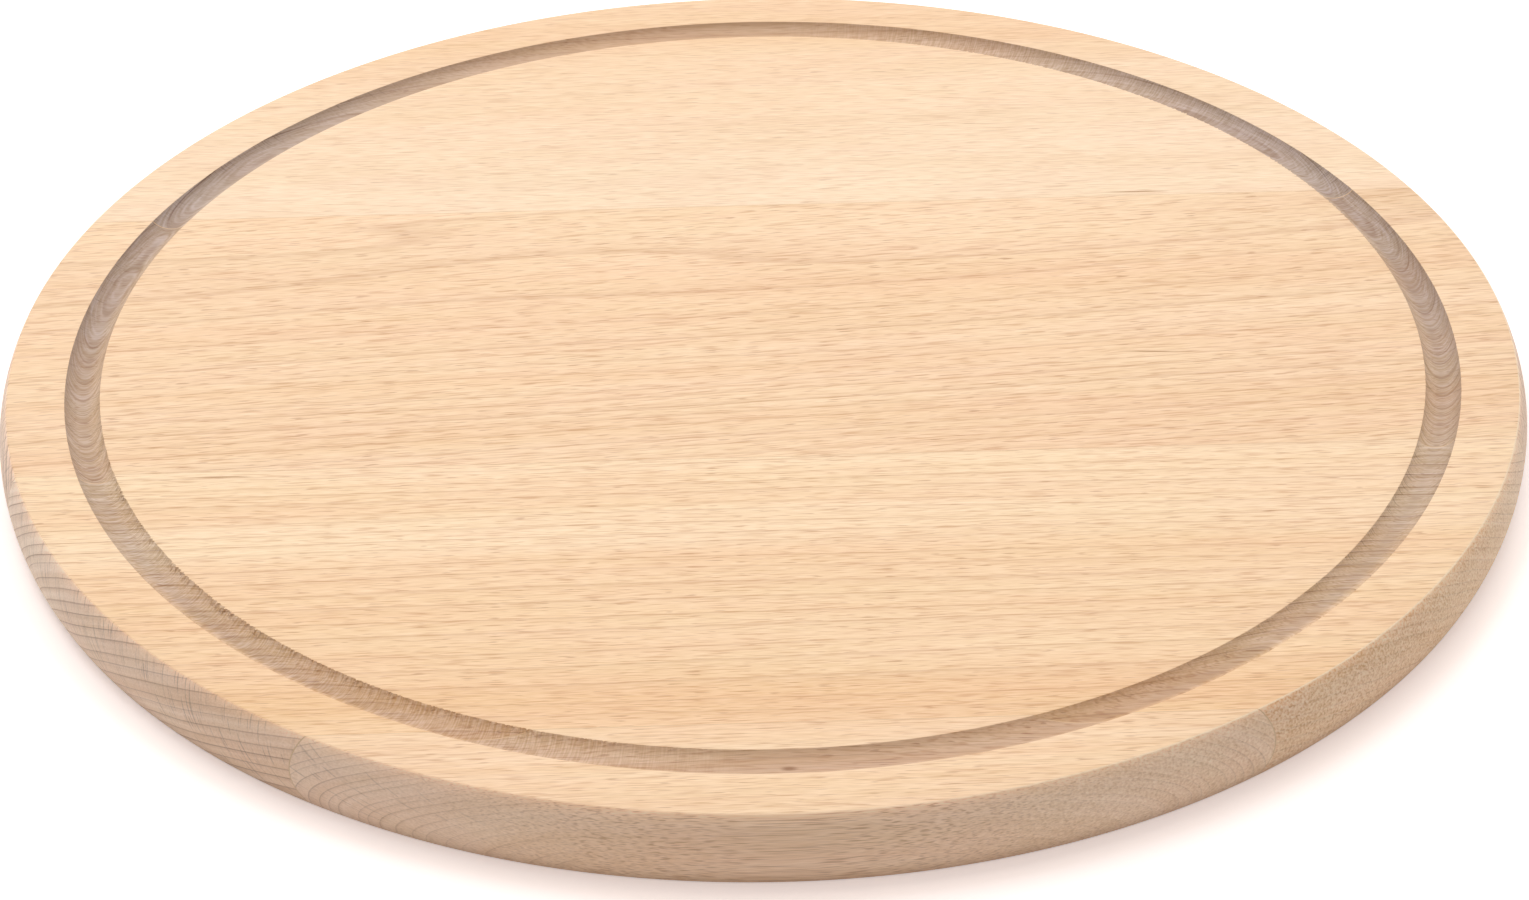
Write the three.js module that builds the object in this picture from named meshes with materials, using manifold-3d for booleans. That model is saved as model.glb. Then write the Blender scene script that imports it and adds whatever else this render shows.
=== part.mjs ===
// Round cutting board: beech staves edge-glued into a panel, turned round, with a routed juice groove.
// Millimetres, +Z up. X runs along the grain, Y across the staves, and the board rests on z = 0.
import * as THREE from 'three';
import { mergeVertices } from 'three/addons/utils/BufferGeometryUtils.js';
import Module from 'manifold-3d';

// Board
const BOARD_DIAMETER = 300;
const BOARD_THICKNESS = 15;

// Rim: it swells by RIM_BOW at mid-height, and both arrises are eased by hand sanding
const RIM_BOW = 1.9;
const ARRIS_EASE = 0.3;

// Juice groove: the path of a round-nosed cutter, inset from the rim's widest circle to its centre line
const GROOVE_INSET = 16.6;
const GROOVE_CUTTER_RADIUS = 4;
const GROOVE_DEPTH = 2;

// Staves, counted from the front edge; the rear stave fills the rest of the round
const FRONT_STAVE_WIDTH = 27.7;
const MIDDLE_FRONT_STAVE_WIDTH = 84.1;
const MIDDLE_REAR_STAVE_WIDTH = 94.6;
const GLUE_LINE_THICKNESS = 0.16;

// Facets
const TURNED_SEGMENTS = 144;
const ARRIS_SEGMENTS = 3;
const RIM_SEGMENTS = 6;
const GROOVE_SEGMENTS = 10;

const WOOD_ROUGHNESS = 0.62;
const GLUE_ROUGHNESS = 0.5;

const wasm = await Module();
wasm.setup();

// Closed manifold solid of a three.js geometry, without the flat triangles that lathes leave on their axis
function solidOf(geometry) {
  const bare = geometry.clone();
  bare.deleteAttribute('normal');
  bare.deleteAttribute('uv');
  const merged = mergeVertices(bare);
  const index = merged.index.array;
  const triangles = [];
  for (let i = 0; i < index.length; i += 3) {
    const [a, b, c] = [index[i], index[i + 1], index[i + 2]];
    if (a !== b && b !== c && c !== a) {
      triangles.push(a, b, c);
    }
  }
  const mesh = new wasm.Mesh({
    numProp: 3,
    vertProperties: new Float32Array(merged.attributes.position.array),
    triVerts: new Uint32Array(triangles),
  });
  return new wasm.Manifold(mesh);
}

function geometryOf(solid) {
  const mesh = solid.getMesh();
  const geometry = new THREE.BufferGeometry();
  geometry.setAttribute('position', new THREE.BufferAttribute(new Float32Array(mesh.vertProperties), 3));
  geometry.setIndex(new THREE.BufferAttribute(new Uint32Array(mesh.triVerts), 1));
  const faceted = geometry.toNonIndexed();
  faceted.computeVertexNormals();
  return faceted;
}

// Half section of the turned board, from the middle of the underside round the rim to the middle of the top
function boardProfile() {
  const arrisRadius = BOARD_DIAMETER / 2 - RIM_BOW;
  const topEase = BOARD_THICKNESS - ARRIS_EASE;
  const point = (radius, height) => new THREE.Vector2(radius, height);
  const lowerArris = new THREE.QuadraticBezierCurve(
    point(arrisRadius - ARRIS_EASE, 0),
    point(arrisRadius, 0),
    point(arrisRadius, ARRIS_EASE),
  );
  const rim = new THREE.QuadraticBezierCurve(
    point(arrisRadius, ARRIS_EASE),
    point(arrisRadius + 2 * RIM_BOW, BOARD_THICKNESS / 2),
    point(arrisRadius, topEase),
  );
  const upperArris = new THREE.QuadraticBezierCurve(
    point(arrisRadius, topEase),
    point(arrisRadius, BOARD_THICKNESS),
    point(arrisRadius - ARRIS_EASE, BOARD_THICKNESS),
  );
  const cutterHeight = BOARD_THICKNESS - GROOVE_DEPTH + GROOVE_CUTTER_RADIUS;
  const halfAngle = Math.acos((cutterHeight - BOARD_THICKNESS) / GROOVE_CUTTER_RADIUS);
  const down = -Math.PI / 2;
  const groove = new THREE.EllipseCurve(
    BOARD_DIAMETER / 2 - GROOVE_INSET, cutterHeight,
    GROOVE_CUTTER_RADIUS, GROOVE_CUTTER_RADIUS,
    down + halfAngle, down - halfAngle, true,
  );
  return [
    point(0, 0),
    ...lowerArris.getPoints(ARRIS_SEGMENTS),
    ...rim.getPoints(RIM_SEGMENTS).slice(1),
    ...upperArris.getPoints(ARRIS_SEGMENTS).slice(1),
    ...groove.getPoints(GROOVE_SEGMENTS),
    point(0, BOARD_THICKNESS),
  ];
}

function turnedBoard() {
  const lathe = new THREE.LatheGeometry(boardProfile(), TURNED_SEGMENTS);
  lathe.rotateX(Math.PI / 2);
  return solidOf(lathe);
}

// The slice of the board between two planes across the grain
function boardSlice(board, front, rear) {
  const slab = new THREE.BoxGeometry(2 * BOARD_DIAMETER, rear - front, 2 * BOARD_THICKNESS);
  slab.translate(0, (front + rear) / 2, BOARD_THICKNESS / 2);
  return geometryOf(board.intersect(solidOf(slab)));
}

function piece(name, geometry, colour, roughness) {
  const material = new THREE.MeshStandardMaterial({ color: colour, roughness, metalness: 0 });
  const mesh = new THREE.Mesh(geometry, material);
  mesh.name = name;
  return mesh;
}

function cuttingBoard() {
  const frontEdge = -BOARD_DIAMETER / 2;
  const frontJoint = frontEdge + FRONT_STAVE_WIDTH;
  const middleJoint = frontJoint + MIDDLE_FRONT_STAVE_WIDTH;
  const rearJoint = middleJoint + MIDDLE_REAR_STAVE_WIDTH;
  const halfGlue = GLUE_LINE_THICKNESS / 2;

  const staves = [
    { name: 'front_stave', front: -BOARD_DIAMETER, rear: frontJoint - halfGlue, colour: '#f7d8b2' },
    { name: 'middle_front_stave', front: frontJoint + halfGlue, rear: middleJoint - halfGlue, colour: '#f6d5ac' },
    { name: 'middle_rear_stave', front: middleJoint + halfGlue, rear: rearJoint - halfGlue, colour: '#f3cfa8' },
    { name: 'rear_stave', front: rearJoint + halfGlue, rear: BOARD_DIAMETER, colour: '#f8dab4' },
  ];
  const glueLines = [
    { name: 'front_glue_line', joint: frontJoint },
    { name: 'middle_glue_line', joint: middleJoint },
    { name: 'rear_glue_line', joint: rearJoint },
  ];

  const board = turnedBoard();
  const group = new THREE.Group();
  for (const { name, front, rear, colour } of staves) {
    group.add(piece(name, boardSlice(board, front, rear), colour, WOOD_ROUGHNESS));
  }
  for (const { name, joint } of glueLines) {
    const film = boardSlice(board, joint - halfGlue, joint + halfGlue);
    group.add(piece(name, film, '#b98f68', GLUE_ROUGHNESS));
  }
  return group;
}

export default cuttingBoard();
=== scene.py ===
import math
from functools import partial
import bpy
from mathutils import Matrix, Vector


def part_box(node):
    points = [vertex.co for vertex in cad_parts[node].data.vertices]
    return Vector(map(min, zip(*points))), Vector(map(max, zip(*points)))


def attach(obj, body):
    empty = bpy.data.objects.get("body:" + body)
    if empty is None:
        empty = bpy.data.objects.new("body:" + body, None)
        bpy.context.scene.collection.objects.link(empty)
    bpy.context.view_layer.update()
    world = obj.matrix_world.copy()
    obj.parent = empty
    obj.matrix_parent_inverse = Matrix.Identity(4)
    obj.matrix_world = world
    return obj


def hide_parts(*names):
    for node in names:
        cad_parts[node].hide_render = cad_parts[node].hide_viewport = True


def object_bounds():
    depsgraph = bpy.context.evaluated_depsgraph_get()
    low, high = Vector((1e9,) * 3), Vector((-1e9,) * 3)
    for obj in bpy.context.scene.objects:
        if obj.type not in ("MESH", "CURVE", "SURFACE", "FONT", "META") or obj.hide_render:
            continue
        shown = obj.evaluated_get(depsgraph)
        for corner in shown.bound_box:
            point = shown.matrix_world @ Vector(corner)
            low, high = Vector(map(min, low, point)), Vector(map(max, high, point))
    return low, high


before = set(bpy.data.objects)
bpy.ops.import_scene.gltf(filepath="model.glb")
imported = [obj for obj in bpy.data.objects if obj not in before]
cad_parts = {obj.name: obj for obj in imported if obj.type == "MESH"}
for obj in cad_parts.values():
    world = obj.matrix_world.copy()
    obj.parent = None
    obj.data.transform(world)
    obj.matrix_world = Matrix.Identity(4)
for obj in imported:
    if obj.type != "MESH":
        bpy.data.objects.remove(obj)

from types import SimpleNamespace
from typing import NamedTuple

import bmesh
import bpy
from bpy.props import FloatProperty, FloatVectorProperty, IntProperty, PointerProperty
from bpy.types import Operator, Panel, PropertyGroup
from mathutils import Euler, Matrix, Vector, noise

bl_info = {
    "name": "Round cutting board",
    "version": (1, 0, 0),
    "blender": (4, 5, 0),
    "location": "View3D > Sidebar > Cutting board",
    "description": "Edge-glued beech board, turned round, with a routed juice groove",
    "category": "Add Mesh",
}

MM = 0.001
CAD_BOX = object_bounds()
BOARD_LOW, BOARD_HIGH = (Vector(corner) for corner in CAD_BOX)
BODY = "root"
STAVES = ("rear_stave", "middle_rear_stave", "middle_front_stave", "front_stave")
GLUE_LINES = ("rear_glue_line", "middle_glue_line", "front_glue_line")

# Turned mesh: facets of the half section, and the ring of flat top that is turned inside the groove
RIM_STEPS = 16
GROOVE_STEPS = 20
EASE_STEPS = 4
CORE_MARGIN = 3 * MM

# Steepest edge that is shaded smooth, and gaps that count as none: between welded points, at a saw cut,
# and between a stave's box and the rim
SMOOTH_ANGLE = math.radians(12)
WELD_GAP = 0.01 * MM
SAW_GAP = 0.0001 * MM
RIM_GAP = MM

# Tufts of torn fibres: shares of their reach and of the groove's depth, and the patches that they come in
TUFT_LOWEST = 0.1
TUFT_SWING = 2
TUFT_STAND_BACK = 0.15
TUFT_DROOP = 0.1
TUFT_ROWS = 2
PATCH_TUFTS = 15
PATCH_MEAN = 0.6
PATCH_SWING = 1.2
PATCH_SEED = 5

# Paper floor in metres: a glow that lights nothing takes it to plain white away from the rim. Near the rim
# the glow is dimmer and warm grey, lowest three to eight millimetres out, which paints a wider, softer shadow
# round the board than the softbox casts
PAPER = "#f7f6f5"
FLOOR_RADIUS = 8
FLOOR_SEGMENTS = 64
FLOOR_GAP = 0.1 * MM
GLOW_AND_PAINTED_SHADOW_REACH = 0.1
FLOOR_GLOW_WITH_PAINTED_SHADOW = ((0.0, "#ada2a0"), (0.03, "#9e8b84"), (0.08, "#998e89"), (0.2, "#adaaaa"), (1.0, "#ffffff"))

# Camera sensor in millimetres
SENSOR_WIDTH = 36


def linear(hex_colour):
    """Linear RGBA of an sRGB hex colour."""
    channels = [int(hex_colour[i:i + 2], 16) / 255 for i in (1, 3, 5)]
    return (*(c / 12.92 if c <= 0.04045 else ((c + 0.055) / 1.055) ** 2.4 for c in channels), 1.0)


def length_property(name, description, default):
    return FloatProperty(name=name, description=description, default=default,
                         subtype="DISTANCE", unit="LENGTH")


def angle_property(name, description, default):
    return FloatProperty(name=name, description=description, default=default,
                         subtype="ANGLE", unit="ROTATION")


def share_property(name, description, default, least=0):
    return FloatProperty(name=name, description=description, default=default,
                         min=least, max=1, subtype="FACTOR")


def place_property(name, description, default, subtype="TRANSLATION"):
    return FloatVectorProperty(name=name, description=description, default=default,
                               size=3, subtype=subtype, unit="LENGTH")


def colour_property(name, description, hex_colour):
    return FloatVectorProperty(name=name, description=description, default=linear(hex_colour),
                               size=4, min=0, max=1, subtype="COLOR")


class BoardShape(PropertyGroup):
    """The turned and routed shape that all the staves share."""
    diameter: length_property("Diameter", "Widest diameter of the rim", BOARD_HIGH.x - BOARD_LOW.x)
    thickness: length_property("Thickness", "Underside to work surface", BOARD_HIGH.z - BOARD_LOW.z)
    rim_bow: length_property("Rim bow", "How far the rim swells at mid-height", 1.9 * MM)
    arris_ease: length_property("Arris ease", "Radius that sanding leaves on both rim edges", 0.3 * MM)
    groove_inset: length_property("Groove inset", "Widest circle to the groove's centre line", 16.6 * MM)
    groove_cutter: length_property("Groove cutter", "Radius of the round-nosed cutter", 4 * MM)
    groove_depth: length_property("Groove depth", "Depth of the juice groove", 2 * MM)
    lip_ease: length_property("Lip ease", "Radius that sanding leaves on the groove's lips", 0.06 * MM)
    tuft_reach: length_property("Tuft reach", "How far torn fibres stand out over the groove", 0.55 * MM)
    tuft_width: length_property("Tuft width", "Width of one tuft of torn fibres", 0.5 * MM)
    sectors: IntProperty(name="Sectors", description="Equal sectors that make up the turn", default=60, min=3)
    steps: IntProperty(name="Steps", description="Facets round the rim of one sector", default=48, min=1)


def millimetres(sizes):
    return [size * MM for size in sizes]


def beech_properties(class_name, pale, deep, pith, ring_width, line_share, grain_yaw, fleck_share,
                     front_tone, rear_tone, streak, streak_size=(8, 0.4, 1), tear_share=1.0):
    """A property group for one stave's wood, with that stave's own defaults in millimetres and degrees."""
    properties = {
        "pale": colour_property("Pale wood", "Colour of the palest bands", pale),
        "deep": colour_property("Deep wood", "Colour of the deepest bands", deep),
        "pith": place_property("Pith", "A point on the axis of the growth rings", millimetres(pith)),
        "ring_width": length_property("Ring width", "Mean width of one year's growth", ring_width * MM),
        "line_share": share_property("Line share", "How strongly the year lines show on the top", line_share),
        "grain_yaw": angle_property("Grain yaw", "Turn of the fibres from the glue lines",
                                    math.radians(grain_yaw)),
        "fleck_share": share_property("Fleck share", "How strongly the rays show as dark dashes",
                                      fleck_share),
        "tear_share": share_property("Tear share", "How far the turning tool tore the end grain",
                                     tear_share),
        "front_tone": share_property("Front tone", "How deep the wood is at the stave's front edge",
                                     front_tone, least=-1),
        "rear_tone": share_property("Rear tone", "How deep the wood is at the stave's rear edge",
                                    rear_tone, least=-1),
        "streak": place_property("Streak", "Middle of a short dark streak of heavy growth",
                                 millimetres(streak)),
        "streak_size": place_property("Streak size", "Half length, width and depth of the streak",
                                      millimetres(streak_size), subtype="XYZ_LENGTH"),
    }
    body = {"__annotations__": properties, "__doc__": "One stave's beech."}
    return type(class_name, (PropertyGroup,), body)


RearStaveWood = beech_properties(
    "RearStaveWood", pale="#f8dbbb", deep="#f1cca6", pith=(400, 90, -110), ring_width=2.2,
    line_share=0.06, grain_yaw=0.4, fleck_share=0.6, front_tone=-0.3, rear_tone=0.4,
    streak=(79.6, 57.9, 15))
MiddleRearStaveWood = beech_properties(
    "MiddleRearStaveWood", pale="#fadcb9", deep="#f2caa2", pith=(900, 110, -110), ring_width=1.9,
    line_share=0.36, grain_yaw=3.8, fleck_share=1.0, front_tone=0.1, rear_tone=0.0,
    streak=(76.7, -4.4, 15))
MiddleFrontStaveWood = beech_properties(
    "MiddleFrontStaveWood", pale="#fbdcb7", deep="#f2c89c", pith=(1500, -190, -210), ring_width=2.0,
    line_share=0.44, grain_yaw=0.4, fleck_share=1.0, front_tone=0.34, rear_tone=-0.5,
    streak=(-104, -40, 15))
FrontStaveWood = beech_properties(
    "FrontStaveWood", pale="#fbdbb8", deep="#f1c79c", pith=(2200, -156, -7), ring_width=1.2,
    line_share=0.15, grain_yaw=0.0, fleck_share=0.9, front_tone=0.0, rear_tone=0.0,
    streak=(0.7, -133.1, 13), streak_size=(2, 0.8, 1), tear_share=0.6)


class StageLight(PropertyGroup):
    """The studio: softbox, surroundings and camera."""
    key_power: FloatProperty(name="Softbox power", description="Power of the softbox over the board",
                             default=22.4, min=0, subtype="POWER", unit="POWER")
    key_place: place_property("Softbox place", "Middle of the softbox, above and behind", (-0.12, 0.5, 1.5))
    key_side: length_property("Softbox side", "Side of the square softbox", 1.3)
    surround: FloatProperty(name="Surroundings", description="Brightness of the room round the stage",
                            default=0.34, min=0)
    camera_place: place_property("Camera place", "Where the camera stands", (-0.0164, -0.7599, 0.4945))
    camera_pitch: angle_property("Camera pitch", "How far the camera looks down", 0.5848)
    camera_yaw: angle_property("Camera yaw", "How far the camera looks to the right", 0.0218)
    camera_roll: angle_property("Camera roll", "Tilt of the camera about its view", -0.0153)
    camera_lens: FloatProperty(name="Lens", description="Focal length on a 36 mm wide sensor",
                               default=107.13, subtype="DISTANCE_CAMERA", unit="CAMERA")


def groove_middle(board):
    """Radius of the groove's centre line."""
    return board.diameter / 2 - board.groove_inset


def groove_half_angle(board):
    """Angle of the cutter's nose from the groove's bottom to a lip."""
    return math.acos(1 - board.groove_depth / board.groove_cutter)


def groove_half_width(board):
    return board.groove_cutter * math.sin(groove_half_angle(board))


def fill(tree, node, inputs):
    """Fills a node's sockets. Each takes a constant, a socket, or a node's first output in use."""
    for key, value in inputs.items():
        if isinstance(value, bpy.types.Node):
            value = next(socket for socket in value.outputs if socket.enabled)
        if isinstance(value, bpy.types.NodeSocket):
            tree.links.new(value, node.inputs[key])
        else:
            node.inputs[key].default_value = value


def add_node(tree, kind, *values, inputs=None, **settings):
    """A shader node with its settings. Values fill its sockets in order, and inputs those that they name."""
    node = tree.nodes.new("ShaderNode" + kind)
    for name, value in settings.items():
        setattr(node, name, value)
    fill(tree, node, dict(enumerate(values)) | (inputs or {}))
    return node


# Settings that many nodes share, and the sockets of a Mix node that mixes colours
TIMES = {"operation": "MULTIPLY"}
TIMES_PLUS = {"operation": "MULTIPLY_ADD"}
LESS = {"operation": "SUBTRACT", "use_clamp": True}
SMOOTH = {"interpolation_type": "SMOOTHSTEP"}
COLOURS = {"data_type": "RGBA"}
SHARE, UNDER, OVER = 0, 6, 7


def new_material(name):
    material = bpy.data.materials.new(name)
    material.use_nodes = True
    return material


def set_stops(node, stops):
    """Gives a colour ramp its stops, the first at 0 and the last at 1."""
    elements = node.color_ramp.elements
    for position, _ in stops[1:-1]:
        elements.new(position)
    for element, (_, colour) in zip(elements, stops):
        element.color = colour


def grain_noise(tree, place, size, detail, roughness=0.5):
    """Noise in grains of a size, drawn out along the axes of a place in the same unit."""
    add = partial(add_node, tree)
    cells = add("Mapping", inputs={"Vector": place, "Scale": [1 / side for side in size]})
    return add("TexNoise", inputs={"Vector": cells, "Scale": 1.0, "Detail": detail, "Roughness": roughness})


def looks_only(tree):
    """Rays that only look at a thing and light nothing by it: from the camera, off gloss or through glass."""
    add = partial(add_node, tree)
    path = add("LightPath")
    seen = add("Math", path.outputs["Is Camera Ray"], path.outputs["Is Glossy Ray"], operation="MAXIMUM")
    return add("Math", seen, path.outputs["Is Transmission Ray"], operation="MAXIMUM")


# Fades from none to all, by the X or Z part of the way that a face points
END_GRAIN_FADE = (0.1, 0.8)
# Upper rim faces, tilted up, that get painted light
UPRIGHT_FADE = (0.95, 0.7)
UPPER_RIM_LIGHT_FADE = (0.28, 0.6)
# Band of the upper arris that gets a painted highlight
ARRIS_START_FADE = (0.5, 0.65)
ARRIS_END_FADE = (0.995, 0.95)

# Fades by the X or Y part of the heading from the board's middle, or by their product
ACROSS_FADE = (0.2, 0.9)
FRONT_HALF_FADE = (0.15, -0.2)
FRONT_FADE = (-0.3, -0.9)
# Right side, where the arris gets its painted highlight
RIGHT_HIGHLIGHT_FADE = (-0.2, 0.6)
RIM_TORN_FADE = (-0.1, -0.45)
GROOVE_TORN_FADE = (0.0, 0.35)

# Groove: depth at which it counts as routed, the walls that get painted light, and whiskers of fibre in
# millimetres
ROUTED_DEPTHS = (0.02 * MM, 0.1 * MM)
OUTER_WALL_PAINTED_LIGHT_FADE = (0.1, 0.9)
INNER_WALL_PAINTED_LIGHT_SHARE = 0.5
ROUTED_CUT_SHARE = 0.4
WHISKER_SIZE = (0.35, 4, 1)
WHISKER_FADE = (0.35, 0.65, -0.5, 0.5)


def surface_masks(tree, place, board, tear_share):
    """Where the surface cuts the fibres across, and where it was routed, turned, torn or eased."""
    add = partial(add_node, tree)
    middle = groove_middle(board)
    half_width = groove_half_width(board)
    facing = add("SeparateXYZ", place.outputs["Normal"])
    facing_up = facing.outputs["Z"]
    end_on = add("Math", facing.outputs["X"], operation="ABSOLUTE")
    end_grain = add("MapRange", end_on, *END_GRAIN_FADE, **SMOOTH)
    flat = add("Math", facing_up, operation="ABSOLUTE")
    upright = add("MapRange", flat, *UPRIGHT_FADE, **SMOOTH)

    spot = place.outputs["Object"]
    level = add("VectorMath", spot, (1, 1, 0), **TIMES)
    reach = add("VectorMath", level, operation="LENGTH").outputs["Value"]
    heading = add("SeparateXYZ", add("VectorMath", level, operation="NORMALIZE"))
    rightward = heading.outputs["X"]
    rearward = heading.outputs["Y"]
    front_half = add("MapRange", rearward, *FRONT_HALF_FADE, **SMOOTH)
    sideways = add("Math", rightward, operation="ABSOLUTE")
    across = add("MapRange", sideways, *ACROSS_FADE, **SMOOTH)
    quarter = add("Math", rightward, rearward, **TIMES)

    # Routed groove: darker as routed wood and in painted shade. Its inner wall, and its outer wall at the
    # front, get painted light and are less dark than the rest
    in_groove = add("Math", reach, middle, half_width + board.tuft_reach, operation="COMPARE")
    height = add("SeparateXYZ", spot).outputs["Z"]
    sunk = add("MapRange", height, *(board.thickness - depth for depth in ROUTED_DEPTHS), **SMOOTH)
    upper = add("Math", height, board.thickness / 2, operation="GREATER_THAN")
    routed = add("Math", in_groove, add("Math", sunk, upper, **TIMES), **TIMES)
    inner_wall = add("MapRange", reach, middle, middle - half_width, **SMOOTH)
    inner_wall = add("Math", inner_wall, INNER_WALL_PAINTED_LIGHT_SHARE, **TIMES)
    outer_wall = add("MapRange", reach, *(middle + share * half_width for share in OUTER_WALL_PAINTED_LIGHT_FADE), **SMOOTH)
    front = add("MapRange", rearward, *FRONT_FADE, **SMOOTH)
    painted_light_wall = add("Math", inner_wall, add("Math", outer_wall, front, **TIMES), operation="MAXIMUM")
    routed_and_painted_shade = add("Math", routed, painted_light_wall, **LESS)
    cut = add("Math", end_grain, add("Math", routed, ROUTED_CUT_SHARE, **TIMES), operation="MAXIMUM")

    # Turned rim: torn in the quarters that the tool cut against the grain. Its upper part, where it tilts to
    # face up, gets painted light
    on_rim = add("Math", reach, middle + 2 * half_width, operation="GREATER_THAN")
    turned = add("Math", on_rim, upright, **TIMES)
    against = add("MapRange", quarter, *RIM_TORN_FADE, **SMOOTH)
    torn = add("Math", add("Math", turned, against, **TIMES), tear_share, **TIMES)
    upper_rim_painted_light = add("Math", turned, add("MapRange", facing_up, *UPPER_RIM_LIGHT_FADE, **SMOOTH), **TIMES)
    # Painted highlight: a pale line on the rim's upper arris, on its right side only, standing in for light
    # catching the edge
    arris_start = add("MapRange", facing_up, *ARRIS_START_FADE, **SMOOTH)
    arris_end = add("MapRange", facing_up, *ARRIS_END_FADE, **SMOOTH)
    arris_painted_highlight = add("Math", on_rim, add("Math", arris_start, arris_end, **TIMES), **TIMES)
    arris_painted_highlight = add("Math", arris_painted_highlight, add("MapRange", rightward, *RIGHT_HIGHLIGHT_FADE, **SMOOTH), **TIMES)

    # Whiskers of fibre across the groove, pale and dark, in the quarters that its cutter tore
    bearing = add("Math", rearward, rightward, operation="ARCTAN2")
    round_groove = add("Math", bearing, middle / MM, **TIMES)
    round_board = add("CombineXYZ", round_groove, add("Math", reach, 1 / MM, **TIMES))
    whisker = grain_noise(tree, round_board, WHISKER_SIZE, detail=1.0)
    whisker = add("MapRange", whisker, *WHISKER_FADE, **SMOOTH)
    groove_torn = add("MapRange", quarter, *GROOVE_TORN_FADE, **SMOOTH)
    whisker = add("Math", whisker, add("Math", routed, groove_torn, **TIMES), **TIMES)

    return SimpleNamespace(end_grain=end_grain, cut=cut, across=across, front_half=front_half, routed=routed,
                           routed_and_painted_shade=routed_and_painted_shade, turned=turned, against=against, torn=torn, upper_rim_painted_light=upper_rim_painted_light,
                           arris_painted_highlight=arris_painted_highlight, whisker=whisker)


# Grain sizes in millimetres along the fibres and both ways across them
SWAY_SIZE = (300, 45, 45)
PATCH_SIZE = (160, 18, 18)
HUE_SIZE = (45, 7, 7)
SPECKLE_SIZE = (0.6, 0.45, 0.45)

# Real beech fibres are far too fine to show, so they are drawn 0.3 mm wide
FIBRE_SIZE = (4, 0.3, 0.3)

# Grain sizes in millimetres along the fibres, round the pith and away from it
GROWTH_SIZE = (90, 30, 1)
FINE_GROWTH_SIZE = (12, 6, 0.2)

# Growth: how far a trunk sways in millimetres, and how years differ in width, strength and tone
SWAY = 6
SWAY_ROUGHNESS = 0.45
SEASON_YEARS = 2
SEASON_DRIFT = 0.9
BAND_YEARS = 4
YEAR_LEVELS = ((0.0, 0.0), (0.5, 0.04), (0.84, 0.25), (0.94, 1.0), (1.0, 0.0))
YEAR_STRENGTH = (0.55, 1.0)
TONE_RANGE = (0.5, 1.5)
HUE_FADE = (0.3, 0.7, 0.498, 0.502)


def trunk_places(tree, spot, wood, board, stave_middle):
    """Millimetres from the pith, X along the fibres: straight, swayed like a trunk, and round the pith."""
    add = partial(add_node, tree)
    straight = add("Mapping", spot, wood.pith, (0, 0, wood.grain_yaw), (MM, MM, MM), vector_type="TEXTURE")
    sway = grain_noise(tree, straight, SWAY_SIZE, detail=2.0, roughness=SWAY_ROUGHNESS)
    trunk = add("VectorMath", sway.outputs["Color"], (0, SWAY, SWAY), straight, **TIMES_PLUS)
    section = add("VectorMath", trunk, (0, 1, 1), **TIMES)
    radius = add("VectorMath", section, operation="LENGTH")
    axes = add("SeparateXYZ", trunk)
    bearing = add("Math", axes.outputs["Y"], axes.outputs["Z"], operation="ARCTAN2")
    mean_radius = math.hypot(stave_middle - wood.pith[1], board.thickness / 2 - wood.pith[2]) / MM
    round_pith = add("Math", bearing, mean_radius, **TIMES)
    polar = add("CombineXYZ", axes.outputs["X"], round_pith, radius)
    return SimpleNamespace(straight=straight, trunk=trunk, radius=radius, polar=polar)


def year_lines(tree, radius, ring_width):
    """Growth rings: each year darkens slowly to a late line and starts pale again, some more than others."""
    add = partial(add_node, tree)
    season = add("TexNoise", inputs={"W": radius, "Scale": 1 / (SEASON_YEARS * ring_width), "Detail": 1.0},
                 noise_dimensions="1D")
    drift = add("Math", season, SEASON_DRIFT, **TIMES)
    year = add("Math", radius, 1 / ring_width, drift, **TIMES_PLUS)
    late = add("ValToRGB", add("Math", year, operation="FRACT"))
    set_stops(late, [(position, (level, level, level, 1)) for position, level in YEAR_LEVELS])
    which_year = add("Math", year, operation="FLOOR")
    strength = add("TexWhiteNoise", inputs={"W": which_year}, noise_dimensions="1D")
    strength = add("MapRange", strength, 0, 1, *YEAR_STRENGTH)
    return add("Math", late, strength, **TIMES)


def grain_fields(tree, spot, growth, wood, front, rear):
    """The stave's lines, slow tone and hue, fibres, growth within a year, and the speckle of torn ends."""
    add = partial(add_node, tree)
    ring_width = wood.ring_width / MM
    band = add("TexNoise", inputs={"W": growth.radius, "Scale": 1 / (BAND_YEARS * ring_width), "Detail": 2.0},
               noise_dimensions="1D")
    patch = grain_noise(tree, growth.trunk, PATCH_SIZE, detail=2.0)
    tone = add("Math", band, patch, operation="ADD")
    tone = add("MapRange", tone, *TONE_RANGE)
    rearward = add("SeparateXYZ", spot).outputs["Y"]
    stave_tone = add("MapRange", rearward, front, rear, wood.front_tone, wood.rear_tone)
    hue = grain_noise(tree, growth.trunk, HUE_SIZE, detail=1.0)
    return SimpleNamespace(
        line=year_lines(tree, growth.radius, ring_width),
        tone=add("Math", tone, stave_tone, operation="ADD", use_clamp=True),
        hue=add("MapRange", hue, *HUE_FADE, **SMOOTH),
        fibre=grain_noise(tree, growth.straight, FIBRE_SIZE, detail=1.0),
        growth=grain_noise(tree, growth.polar, GROWTH_SIZE, detail=2.0),
        fine_growth=grain_noise(tree, growth.polar, FINE_GROWTH_SIZE, detail=1.0),
        speckle=grain_noise(tree, growth.straight, SPECKLE_SIZE, detail=2.0),
    )


class RayMark(NamedTuple):
    """A ray as it shows on a face: size in millimetres, where its noise fades in, share and colour."""
    size: tuple
    fade: tuple
    share: float
    colour: str
    detail: float = 0.0


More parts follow.
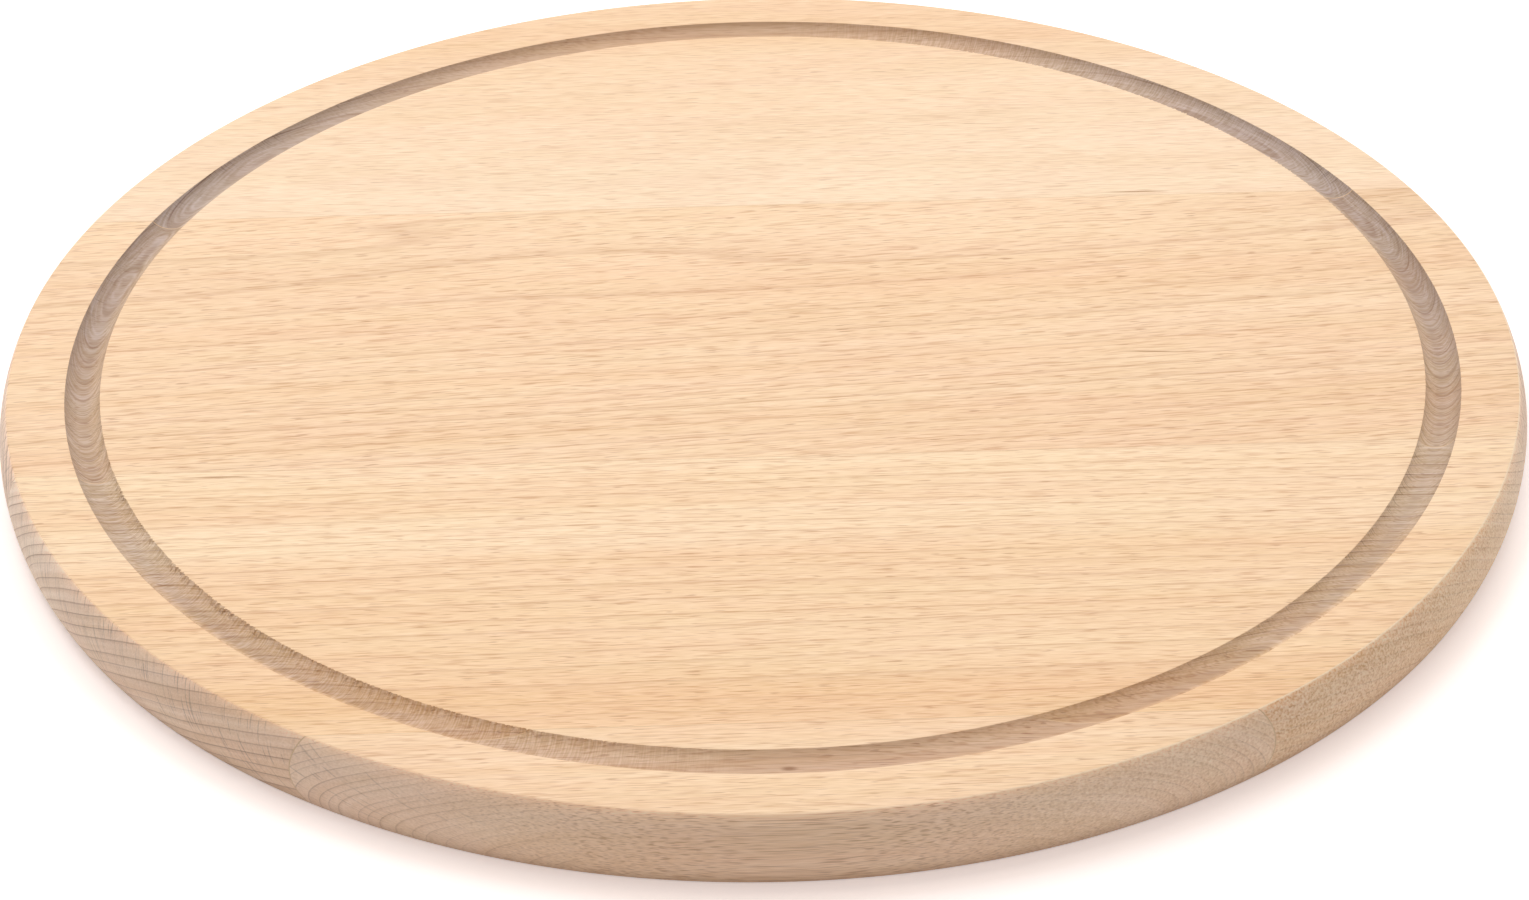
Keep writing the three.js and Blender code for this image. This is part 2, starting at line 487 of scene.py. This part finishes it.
# Rays: dashes along the fibres, or lines towards the pith where the fibres are cut across. Many real ones
# are too fine to show, so all are drawn at least 0.18 mm wide
DASH = RayMark(size=(6, 0.34, 0.34), fade=(0.55, 0.75), share=0.34, colour="#b87a4a")
BOLD_DASH = RayMark(size=(4.5, 0.36, 0.36), fade=(0.68, 0.8), share=0.4, colour="#96582f")
RIM_DASH = RayMark(size=(14, 0.26, 0.18), fade=(0.5, 0.76), share=0.62, colour="#aa744a")
END_RAY = RayMark(size=(4, 0.3, 8), fade=(0.55, 0.75), share=0.2, colour="#a5805f", detail=0.5)
BOLD_END_RAY = RayMark(size=(6, 0.25, 6), fade=(0.68, 0.75), share=0.4, colour="#80604a")

# Year lines on the sanded top and on cut fibres, and the one dark streak of a stave
TOP_LINE = "#b07c54"
CUT_LINE = "#9a6c4e"
CUT_LINE_SHARE = 0.9
FAINT_LINE_SHARE = 0.4
STREAK = "#a87a50"
STREAK_SHARE = 0.8
STREAK_FADE = (1.0, 0.2)


def marked_wood(tree, spot, wood, growth, grain, finish):
    """The stave's colour with its year lines, rays and streak."""
    add = partial(add_node, tree)
    colour = add("Mix", inputs={SHARE: grain.tone, UNDER: wood.pale, OVER: wood.deep}, **COLOURS)

    # Lines are faint where the end grain is torn, and where the cutter left it smooth
    smooth_cut = add("Math", finish.end_grain, finish.against, **LESS)
    smooth_cut = add("Math", finish.routed, smooth_cut, **TIMES)
    faint = add("Math", finish.torn, smooth_cut, operation="MAXIMUM")
    faint = add("MapRange", faint, 0, 1, 1, FAINT_LINE_SHARE)
    line_share = add("MapRange", finish.cut, 0, 1, wood.line_share, CUT_LINE_SHARE)
    line_share = add("Math", line_share, faint, **TIMES)
    line_share = add("Math", grain.line, line_share, **TIMES)
    line_colour = add("Mix", inputs={SHARE: finish.cut, UNDER: linear(TOP_LINE), OVER: linear(CUT_LINE)},
                      **COLOURS)
    colour = add("Mix", inputs={SHARE: line_share, UNDER: colour, OVER: line_colour}, **COLOURS)

    long_grain = add("Math", wood.fleck_share, finish.end_grain, **LESS)
    sanded_grain = add("Math", long_grain, finish.turned, **LESS)
    turned_grain = add("Math", add("Math", long_grain, long_grain, **TIMES), finish.turned, **TIMES)
    clean_end = add("Math", finish.end_grain, finish.torn, **LESS)
    for mark, place, where in ((DASH, growth.straight, sanded_grain),
                               (BOLD_DASH, growth.straight, sanded_grain),
                               (RIM_DASH, growth.straight, turned_grain),
                               (END_RAY, growth.polar, clean_end),
                               (BOLD_END_RAY, growth.polar, clean_end)):
        ray = grain_noise(tree, place, mark.size, mark.detail)
        ray = add("MapRange", ray, *mark.fade, **SMOOTH)
        share = add("Math", ray, add("Math", where, mark.share, **TIMES), **TIMES)
        colour = add("Mix", inputs={SHARE: share, UNDER: colour, OVER: linear(mark.colour)}, **COLOURS)

    streak = add("Mapping", spot, wood.streak, (0, 0, -wood.grain_yaw), wood.streak_size,
                 vector_type="TEXTURE")
    streak = add("VectorMath", streak, operation="LENGTH").outputs["Value"]
    streak = add("MapRange", streak, *STREAK_FADE, **SMOOTH)
    share = add("Math", streak, STREAK_SHARE, **TIMES)
    return add("Mix", inputs={SHARE: share, UNDER: colour, OVER: linear(STREAK)}, **COLOURS)


# Light and dark of the grain: how much each pattern adds, along the fibres and where they are cut
GROWTH_CONTRAST = (0.1, 0.3)
FIBRE_VALUE = (0.25, 0.75, 0.93, 1.07)
COMB_CONTRAST = 0.6
WHISKER_CONTRAST = 0.18
SPECKLE_CONTRAST = 0.9
# Painted light on the upper rim where it tilts up
UPPER_RIM_PAINTED_LIGHT_LIFT = 0.2

# Saturation on the sanded top and the turned rim, and what paler wood loses of it
SATURATION = (1.9, 1.82)
PALE_END_SATURATION = -0.15
PALE_SATURATION = -0.9

# Tints of the finishes. Those of the groove are for its walls along the fibres and across them, and stand for
# the darker routed wood together with painted shade, which is deepest across the fibres in the groove's rear
# half
TURNED_TINT = "#fffbfe"
# Warm tint of the painted light on the upper rim
UPPER_RIM_PAINTED_LIGHT_TINT = "#fff9f2"
TORN_TINT = "#fff9f0"
FRONT_GROOVE_ROUTED_AND_SHADE_TINTS = ("#d4ced0", "#c8c8d0")
REAR_GROOVE_ROUTED_AND_SHADE_TINTS = ("#d6d1d1", "#b8b9c7")
# Colour and share of the painted highlight on the right upper arris
PAINTED_ARRIS_HIGHLIGHT = "#ffeacc"
PAINTED_ARRIS_HIGHLIGHT_SHARE = 0.6
FUZZ = "#fde2c2"
FUZZ_FADE = (0.4, 0.65, 0.0, 0.5)


def finished_wood(tree, colour, grain, finish):
    """A stave's colour with the light and dark of its grain and the tints of its finishes."""
    add = partial(add_node, tree)
    torn_across = add("Math", finish.torn, finish.across, **TIMES)

    # Each pattern is centred on nothing, so that it lightens as much as it darkens
    growth, comb, speckle = (add("Math", pattern, 0.5, operation="SUBTRACT")
                             for pattern in (grain.growth, grain.fine_growth, grain.speckle))
    contrast = add("MapRange", finish.cut, 0, 1, *GROWTH_CONTRAST)
    value = add("MapRange", grain.fibre, *FIBRE_VALUE)
    value = add("Math", growth, contrast, value, **TIMES_PLUS)
    routed_end = add("Math", finish.routed, add("Math", finish.across, COMB_CONTRAST, **TIMES), **TIMES)
    value = add("Math", comb, routed_end, value, **TIMES_PLUS)
    value = add("Math", finish.whisker, WHISKER_CONTRAST, value, **TIMES_PLUS)
    speckle = add("Math", speckle, finish.torn, **TIMES)
    value = add("Math", speckle, SPECKLE_CONTRAST, value, **TIMES_PLUS)

    # The painted light on the upper rim lightens it without losing saturation, so it is added after that is
    # worked out
    pale_end = add("Math", finish.end_grain, torn_across, **LESS)
    pale_end = add("Math", finish.turned, pale_end, **TIMES)
    saturation = add("MapRange", finish.turned, 0, 1, *SATURATION)
    saturation = add("Math", pale_end, PALE_END_SATURATION, saturation, **TIMES_PLUS)
    saturation = add("Math", value, PALE_SATURATION, saturation, **TIMES_PLUS)
    value = add("Math", finish.upper_rim_painted_light, UPPER_RIM_PAINTED_LIGHT_LIFT, value, **TIMES_PLUS)
    colour = add("HueSaturation", inputs={"Color": colour, "Hue": grain.hue, "Saturation": saturation,
                                          "Value": value})

    # The groove's tint is the darker routed wood with painted shade, deeper in the rear half
    front_tint, rear_tint = (
        add("Mix", inputs={SHARE: finish.across, UNDER: linear(along), OVER: linear(across)}, **COLOURS)
        for along, across in (FRONT_GROOVE_ROUTED_AND_SHADE_TINTS, REAR_GROOVE_ROUTED_AND_SHADE_TINTS))
    routed_and_shade_tint = add("Mix", inputs={SHARE: finish.front_half, UNDER: rear_tint, OVER: front_tint}, **COLOURS)
    # The upper rim's tint is part of its painted light
    for share, tint in ((finish.turned, linear(TURNED_TINT)), (finish.upper_rim_painted_light, linear(UPPER_RIM_PAINTED_LIGHT_TINT)),
                        (torn_across, linear(TORN_TINT)), (finish.routed_and_painted_shade, routed_and_shade_tint)):
        colour = add("Mix", inputs={SHARE: share, UNDER: colour, OVER: tint}, **COLOURS,
                     blend_type="MULTIPLY")

    # Painted highlight along the rim's upper arris on the right, and pale fuzz on the torn end grain
    arris_painted_highlight = add("Math", finish.arris_painted_highlight, PAINTED_ARRIS_HIGHLIGHT_SHARE, **TIMES)
    colour = add("Mix", inputs={SHARE: arris_painted_highlight, UNDER: colour, OVER: linear(PAINTED_ARRIS_HIGHLIGHT)}, **COLOURS)
    fuzz = add("MapRange", grain.speckle, *FUZZ_FADE, **SMOOTH)
    fuzz = add("Math", finish.torn, fuzz, **TIMES)
    return add("Mix", inputs={SHARE: fuzz, UNDER: colour, OVER: linear(FUZZ)}, **COLOURS)


# Relief in millimetres: fibres on every face, lines and growth where they are cut, speckle where torn
FIBRE_RELIEF = 0.004
LINE_RELIEF = -0.06
GROWTH_RELIEF = 0.06
SPECKLE_RELIEF = 0.25


def wood_relief(tree, grain, finish):
    """The height of the grain in millimetres."""
    add = partial(add_node, tree)
    relief = add("Math", grain.fibre, FIBRE_RELIEF, **TIMES)
    for pattern, where, height in ((grain.line, finish.cut, LINE_RELIEF),
                                   (grain.growth, finish.cut, GROWTH_RELIEF),
                                   (grain.speckle, finish.torn, SPECKLE_RELIEF)):
        relief = add("Math", add("Math", pattern, where, **TIMES), height, relief, **TIMES_PLUS)
    return relief


def beech(name, wood, board, front, rear):
    """Beech that was planed and sanded on top, turned on the rim and routed in the groove.

    The eye sees pale pink-buff wood with faint growth rings, which are bands along the top and thin lines
    on the end grain. Short brown dashes are the rays. Turned and routed faces are rougher than the sanded
    top, and the groove is greyer.
    """
    material = new_material(name)
    tree = material.node_tree
    place = add_node(tree, "TexCoord")
    spot = place.outputs["Object"]
    finish = surface_masks(tree, place, board, wood.tear_share)
    growth = trunk_places(tree, spot, wood, board, (front + rear) / 2)
    grain = grain_fields(tree, spot, growth, wood, front, rear)
    colour = finished_wood(tree, marked_wood(tree, spot, wood, growth, grain, finish), grain, finish)
    bump = add_node(tree, "Bump", inputs={"Height": wood_relief(tree, grain, finish), "Distance": MM,
                                          "Strength": 1.0})
    fill(tree, tree.nodes["Principled BSDF"], {"Base Color": colour, "Normal": bump, "Roughness": 0.6,
                                               "IOR": 1.5, "Specular IOR Level": 0.3})
    return material


# Glue: the size of its thin and thick stretches along a joint, and their colours
GLUE_SIZE = (5 * MM, MM, MM)
THIN_GLUE = "#e6c5a0"
THICK_GLUE = "#d0a87e"


def cured_glue(name):
    """Clear wood glue, set hard and sanded flush: a hair-thin line, a little browner than the wood."""
    material = new_material(name)
    tree = material.node_tree
    add = partial(add_node, tree)
    place = add("TexCoord")
    squeeze = grain_noise(tree, place.outputs["Object"], GLUE_SIZE, detail=2.0)
    colour = add("Mix", inputs={SHARE: squeeze, UNDER: linear(THIN_GLUE), OVER: linear(THICK_GLUE)},
                 **COLOURS)
    fill(tree, tree.nodes["Principled BSDF"], {"Base Color": colour, "Roughness": 0.5})
    return material


def mesh_of(bm, name):
    """Writes a bmesh to a new mesh and frees it."""
    mesh = bpy.data.meshes.new(name)
    bm.to_mesh(mesh)
    bm.free()
    return mesh


def arc(bm, start, centre, angle, steps):
    """Draws an arc in the half section from a vertex, about a centre, and returns its last vertex."""
    turned = bmesh.ops.spin(bm, geom=[start], cent=centre, axis=(0, 1, 0), angle=angle, steps=steps)
    return next(item for item in turned["geom_last"] if isinstance(item, bmesh.types.BMVert))


def half_section(bm, board):
    """Half section in the XZ plane, open in the middle: underside, bowed rim, land, groove, top."""
    radius = board.diameter / 2 - board.rim_bow
    top = board.thickness
    half_height = top / 2
    bow_radius = (half_height ** 2 + board.rim_bow ** 2) / (2 * board.rim_bow)
    bow_centre = (board.diameter / 2 - bow_radius, 0, half_height)
    bow_angle = 2 * math.asin(half_height / bow_radius)
    middle = groove_middle(board)
    half_width = groove_half_width(board)
    cutter_centre = (middle, 0, top - board.groove_depth + board.groove_cutter)

    def point(reach, height):
        return bm.verts.new((reach, 0, height))

    under = point(middle, 0)
    lower_arris = point(radius, 0)
    upper_arris = arc(bm, lower_arris, bow_centre, -bow_angle, RIM_STEPS)
    outer_lip = point(middle + half_width, top)
    inner_lip = arc(bm, outer_lip, cutter_centre, 2 * groove_half_angle(board), GROOVE_STEPS)
    core = point(middle - half_width - CORE_MARGIN, top)
    for start, end in ((under, lower_arris), (upper_arris, outer_lip), (inner_lip, core)):
        bm.edges.new((start, end))
    for corners, ease in (((lower_arris, upper_arris), board.arris_ease),
                          ((outer_lip, inner_lip), board.lip_ease)):
        bmesh.ops.bevel(bm, geom=corners, offset=ease, segments=EASE_STEPS, profile=0.5,
                        affect="VERTICES", material=-1)


def tear_inner_lip(bm, board):
    """Stands tufts of torn fibres out from the groove's inner lip, in the quarters cut against the grain."""
    inner = groove_middle(board) - groove_half_width(board)
    for vert in bm.verts:
        level = 1 - (board.thickness - vert.co.z) / board.groove_depth
        reach = vert.co.xy.length
        against = 2 * vert.co.x * vert.co.y / reach ** 2
        if abs(reach - inner) > board.groove_depth or against < 0 or level < TUFT_LOWEST:
            continue
        along = math.atan2(vert.co.y, vert.co.x) * inner / board.tuft_width
        tuft = TUFT_SWING * noise.noise((along, TUFT_ROWS * level, 0))
        tuft = min(max(tuft, -TUFT_STAND_BACK), 1)
        patch = PATCH_MEAN + PATCH_SWING * noise.noise((along / PATCH_TUFTS, 0, PATCH_SEED))
        patch = min(max(patch, 0), 1)
        out = board.tuft_reach * against * patch * tuft * level
        vert.co.xy *= 1 + out / reach
        vert.co.z -= TUFT_DROOP * abs(out)


def turned_board(board):
    """The whole round board as one mesh, before it is cut into staves."""
    bm = bmesh.new()
    half_section(bm, board)
    sector = 2 * math.pi / board.sectors
    bmesh.ops.spin(bm, geom=bm.verts[:] + bm.edges[:], axis=(0, 0, 1), angle=sector, steps=board.steps)
    bmesh.ops.spin(bm, geom=bm.verts[:] + bm.edges[:] + bm.faces[:], axis=(0, 0, 1),
                   angle=2 * math.pi - sector, steps=board.sectors - 1, use_duplicate=True)
    bmesh.ops.remove_doubles(bm, verts=bm.verts, dist=WELD_GAP)
    tear_inner_lip(bm, board)
    for face in bm.faces:
        face.smooth = True
    open_edges = [edge for edge in bm.edges if edge.is_boundary]
    bmesh.ops.holes_fill(bm, edges=open_edges, sides=0)
    bmesh.ops.recalc_face_normals(bm, faces=bm.faces)
    for edge in bm.edges:
        edge.smooth = edge.calc_face_angle() < SMOOTH_ANGLE
    return mesh_of(bm, "turned_board")


def slice_of(board_mesh, node):
    """The slice of the turned board that a CAD node holds, closed where the saw cut it."""
    low, high = (Vector(corner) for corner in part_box(node))
    bm = bmesh.new()
    bm.from_mesh(board_mesh)
    for plane, way in ((low.y, -1), (high.y, 1)):
        on_rim = min(plane - BOARD_LOW.y, BOARD_HIGH.y - plane) < RIM_GAP
        if on_rim:
            continue
        cut = bmesh.ops.bisect_plane(bm, geom=bm.verts[:] + bm.edges[:] + bm.faces[:], dist=SAW_GAP,
                                     plane_co=(0, plane, 0), plane_no=(0, way, 0), clear_outer=True)
        edges = [item for item in cut["geom_cut"] if isinstance(item, bmesh.types.BMEdge)]
        for edge in edges:
            edge.smooth = False
        bmesh.ops.edgeloop_fill(bm, edges=edges)
    bmesh.ops.recalc_face_normals(bm, faces=bm.faces)
    return mesh_of(bm, node + "_turned")


def place_piece(node, mesh, material):
    """Stands a turned slice in for its CAD node."""
    mesh.materials.append(material)
    piece = bpy.data.objects.new(node + "_turned", mesh)
    bpy.context.scene.collection.objects.link(piece)
    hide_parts(node)
    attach(piece, BODY)


class CUTTINGBOARD_OT_staves(Operator):
    """Turn the glued-up board and cut it into its four beech staves"""
    bl_idname = "cutting_board.staves"
    bl_label = "Beech staves"

    def execute(self, context):
        scene = context.scene
        board = scene.cutting_board_shape
        whole = turned_board(board)
        for node in STAVES:
            wood = getattr(scene, "cutting_board_" + node)
            low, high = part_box(node)
            material = beech("sanded_beech_" + node, wood, board, low[1], high[1])
            place_piece(node, slice_of(whole, node), material)
        bpy.data.meshes.remove(whole)
        return {"FINISHED"}


class CUTTINGBOARD_OT_glue_lines(Operator):
    """Fill the three joints between the staves with a film of set glue"""
    bl_idname = "cutting_board.glue_lines"
    bl_label = "Glue lines"

    def execute(self, context):
        whole = turned_board(context.scene.cutting_board_shape)
        glue = cured_glue("cured_wood_glue")
        for node in GLUE_LINES:
            place_piece(node, slice_of(whole, node), glue)
        bpy.data.meshes.remove(whole)
        return {"FINISHED"}


def matt_white_paper(name, rim):
    """Uncoated white paper: matt, and plain white away from the board to whatever looks at it."""
    material = new_material(name)
    tree = material.node_tree
    add = partial(add_node, tree)
    paper = tree.nodes["Principled BSDF"]
    fill(tree, paper, {"Base Color": linear(PAPER), "Roughness": 0.9, "Specular IOR Level": 0.0})
    place = add("TexCoord")
    # The glow rises from warm grey at the rim to white: its dim stretch near the board is painted shadow
    away = add("VectorMath", place.outputs["Object"], operation="LENGTH")
    away = add("MapRange", away.outputs["Value"], rim, rim + GLOW_AND_PAINTED_SHADOW_REACH)
    glow = add("ValToRGB", away)
    set_stops(glow, [(position, linear(colour)) for position, colour in FLOOR_GLOW_WITH_PAINTED_SHADOW])
    glow = add("Emission", inputs={"Color": glow, "Strength": looks_only(tree)})
    fill(tree, tree.nodes["Material Output"], {"Surface": add("AddShader", paper, glow)})
    return material


class CUTTINGBOARD_OT_stage(Operator):
    """Set the floor, the softbox, the surroundings and the camera"""
    bl_idname = "cutting_board.stage"
    bl_label = "Stage"

    def execute(self, context):
        scene = context.scene
        light = scene.cutting_board_light

        bm = bmesh.new()
        bmesh.ops.create_circle(bm, cap_ends=True, radius=FLOOR_RADIUS, segments=FLOOR_SEGMENTS,
                                matrix=Matrix.Translation((0, 0, BOARD_LOW.z - FLOOR_GAP)))
        floor = bpy.data.objects.new("floor", mesh_of(bm, "floor"))
        paper = matt_white_paper("matt_white_paper", scene.cutting_board_shape.diameter / 2)
        floor.data.materials.append(paper)
        scene.collection.objects.link(floor)

        world = bpy.data.worlds.new("studio")
        world.use_nodes = True
        tree = world.node_tree
        strength = add_node(tree, "MapRange", looks_only(tree), 0, 1, light.surround, 1)
        fill(tree, tree.nodes["Background"], {"Color": linear("#ffffff"), "Strength": strength})
        scene.world = world

        softbox = bpy.data.lights.new("softbox", "AREA")
        softbox.energy = light.key_power
        softbox.size = light.key_side
        key = bpy.data.objects.new("softbox", softbox)
        key.location = light.key_place
        key.rotation_euler = (-Vector(light.key_place)).to_track_quat("-Z", "Y").to_euler()
        scene.collection.objects.link(key)

        lens = bpy.data.cameras.new("camera")
        lens.sensor_fit = "HORIZONTAL"
        lens.sensor_width = SENSOR_WIDTH
        lens.lens = light.camera_lens
        camera = bpy.data.objects.new("camera", lens)
        look = Euler((math.pi / 2 - light.camera_pitch, 0, -light.camera_yaw)).to_matrix()
        camera.rotation_euler = (look @ Matrix.Rotation(light.camera_roll, 3, "Z")).to_euler()
        camera.location = light.camera_place
        scene.collection.objects.link(camera)
        scene.camera = camera
        scene.view_settings.view_transform = "Standard"
        return {"FINISHED"}


class CUTTINGBOARD_PT_panel(Panel):
    """The board's pieces, sizes and woods"""
    bl_idname = "CUTTINGBOARD_PT_panel"
    bl_label = "Round cutting board"
    bl_space_type = "VIEW_3D"
    bl_region_type = "UI"
    bl_category = "Cutting board"

    def draw(self, context):
        layout = self.layout
        for operator in OPERATORS:
            layout.operator(operator.bl_idname)
        for name, group in GROUPS.items():
            box = layout.box()
            box.label(text=name.replace("_", " ").capitalize())
            for key in group.__annotations__:
                box.prop(getattr(context.scene, name), key)


OPERATORS = (CUTTINGBOARD_OT_stage, CUTTINGBOARD_OT_staves, CUTTINGBOARD_OT_glue_lines)
GROUPS = {
    "cutting_board_shape": BoardShape,
    "cutting_board_rear_stave": RearStaveWood,
    "cutting_board_middle_rear_stave": MiddleRearStaveWood,
    "cutting_board_middle_front_stave": MiddleFrontStaveWood,
    "cutting_board_front_stave": FrontStaveWood,
    "cutting_board_light": StageLight,
}


def register():
    for cls in (*GROUPS.values(), *OPERATORS, CUTTINGBOARD_PT_panel):
        bpy.utils.register_class(cls)
    for name, group in GROUPS.items():
        setattr(bpy.types.Scene, name, PointerProperty(type=group))


def unregister():
    for name in GROUPS:
        delattr(bpy.types.Scene, name)
    for cls in (CUTTINGBOARD_PT_panel, *OPERATORS, *GROUPS.values()):
        bpy.utils.unregister_class(cls)


def main():
    register()
    bpy.ops.cutting_board.stage()
    bpy.ops.cutting_board.staves()
    bpy.ops.cutting_board.glue_lines()


if __name__ == "__main__":
    main()
